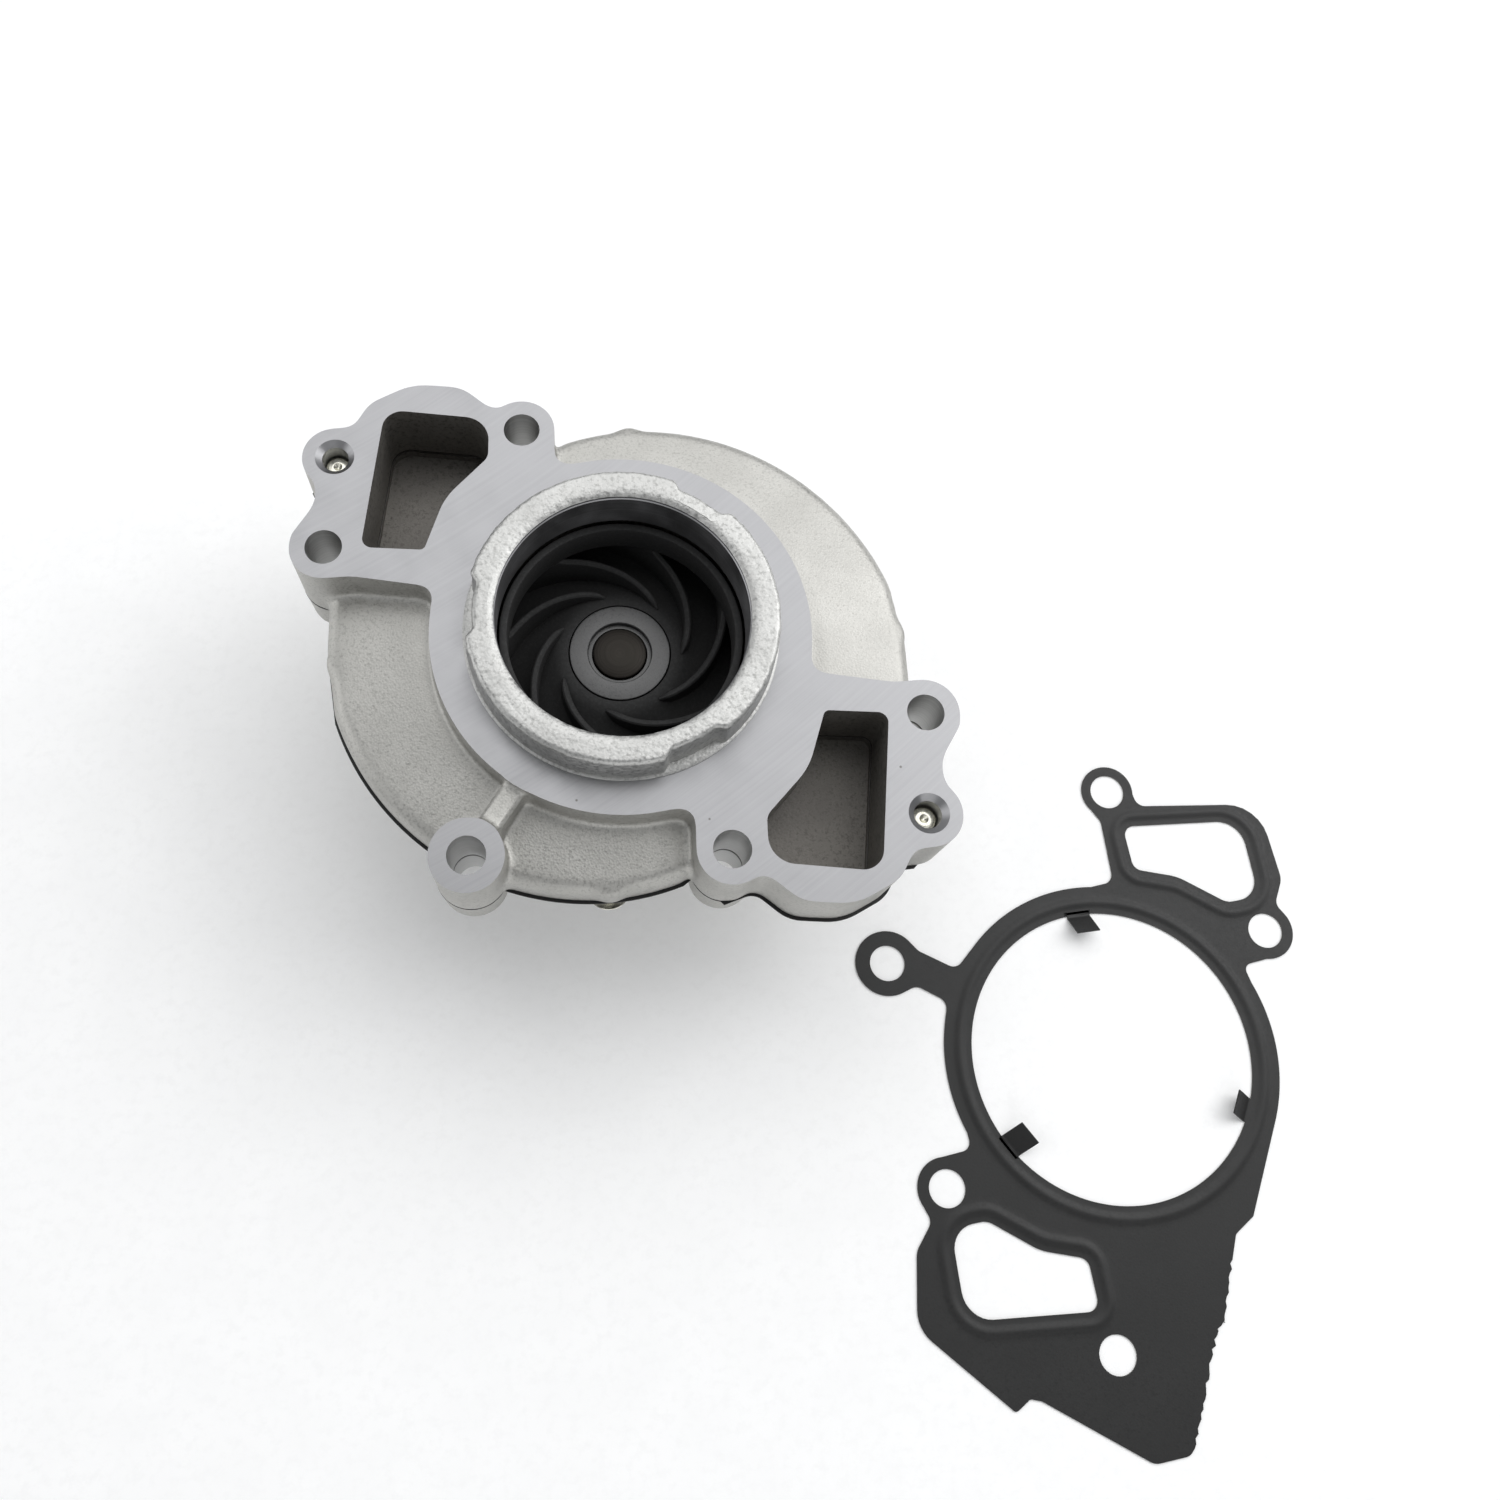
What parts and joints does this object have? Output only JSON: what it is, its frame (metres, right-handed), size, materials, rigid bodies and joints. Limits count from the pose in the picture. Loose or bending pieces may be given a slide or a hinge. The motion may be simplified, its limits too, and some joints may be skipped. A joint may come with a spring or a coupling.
{
  "type": "water pump",
  "caption": "Engine coolant pump: ribbed cast body with inlet snout, two outlet ports, bolt ears, pulley hub, impeller inside, and its loose steel mounting gasket.",
  "frame": {"origin": "middle of the shaft end in the pulley face, on the shaft axis, at the bottom of the standing pump", "axes": "+Z along the shaft axis from the pulley towards the inlet snout; +X along the longer side of the bolt flange, towards the loose gasket"},
  "size_m": [0.2743, 0.262, 0.0857],
  "materials": {
    "cast_aluminium": "as-cast, shot-blasted, with milled faces",
    "coated_steel_sheet": "thin elastomer-coated steel, satin black",
    "bearing_steel": "ground and turned steel",
    "zinc_plated_steel": "bright zinc plating",
    "glass_filled_plastic": "moulded, satin black",
    "seal_rubber": "moulded rubber",
    "brass": "drawn sheet brass",
    "seal_carbon": "lapped carbon graphite",
    "seal_ceramic": "lapped ceramic"
  },
  "bodies": {
    "housing": {"front_housing": "cast_aluminium", "rear_cover": "cast_aluminium", "joint_sheet": "coated_steel_sheet", "cover_screw_1": "zinc_plated_steel", "cover_screw_2": "zinc_plated_steel", "cover_screw_3": "zinc_plated_steel", "cover_screw_4": "zinc_plated_steel", "cover_screw_5": "zinc_plated_steel", "cover_screw_6": "zinc_plated_steel", "cover_screw_7": "zinc_plated_steel", "cover_screw_8": "zinc_plated_steel", "bearing_outer_ring": "bearing_steel", "bearing_seal_lower": "seal_rubber", "bearing_seal_upper": "seal_rubber", "seal_cup": "brass", "seal_bellows": "seal_rubber", "seal_spring": "bearing_steel", "carbon_ring": "seal_carbon"},
    "rotor": {"shaft": "bearing_steel", "pulley_hub": "bearing_steel", "impeller": "glass_filled_plastic", "impeller_insert": "bearing_steel", "seal_seat": "seal_ceramic", "seat_cup": "seal_rubber", "slinger": "seal_rubber"},
    "ball_row": {"ball_cage": "glass_filled_plastic", "ball_1": "bearing_steel", "ball_2": "bearing_steel", "ball_3": "bearing_steel", "ball_4": "bearing_steel", "ball_5": "bearing_steel", "ball_6": "bearing_steel", "ball_7": "bearing_steel", "ball_8": "bearing_steel", "ball_9": "bearing_steel"},
    "roller_row": {"roller_cage": "glass_filled_plastic", "roller_1": "bearing_steel", "roller_2": "bearing_steel", "roller_3": "bearing_steel", "roller_4": "bearing_steel", "roller_5": "bearing_steel", "roller_6": "bearing_steel", "roller_7": "bearing_steel", "roller_8": "bearing_steel", "roller_9": "bearing_steel"},
    "gasket": {"mounting_gasket": "coated_steel_sheet"}
  },
  "joints": [
    {"name": "rotor_spin", "type": "hinge", "parent": "housing", "child": "rotor", "pos_m": [0, 0, 0], "axis": [0, 0, 1], "continuous": true},
    {"name": "ball_row_spin", "type": "hinge", "parent": "housing", "child": "ball_row", "pos_m": [0, 0, 0], "axis": [0, 0, 1], "continuous": true},
    {"name": "roller_row_spin", "type": "hinge", "parent": "housing", "child": "roller_row", "pos_m": [0, 0, 0], "axis": [0, 0, 1], "continuous": true},
    {"name": "gasket_lift", "type": "slide", "parent": "housing", "child": "gasket", "axis": [0, 0, 1], "range_m": [0, 0.095]}
  ],
  "couplings": [
    {"joint": "ball_row_spin", "follows": "rotor_spin", "ratio": 0.349},
    {"joint": "roller_row_spin", "follows": "rotor_spin", "ratio": 0.349}
  ]
}
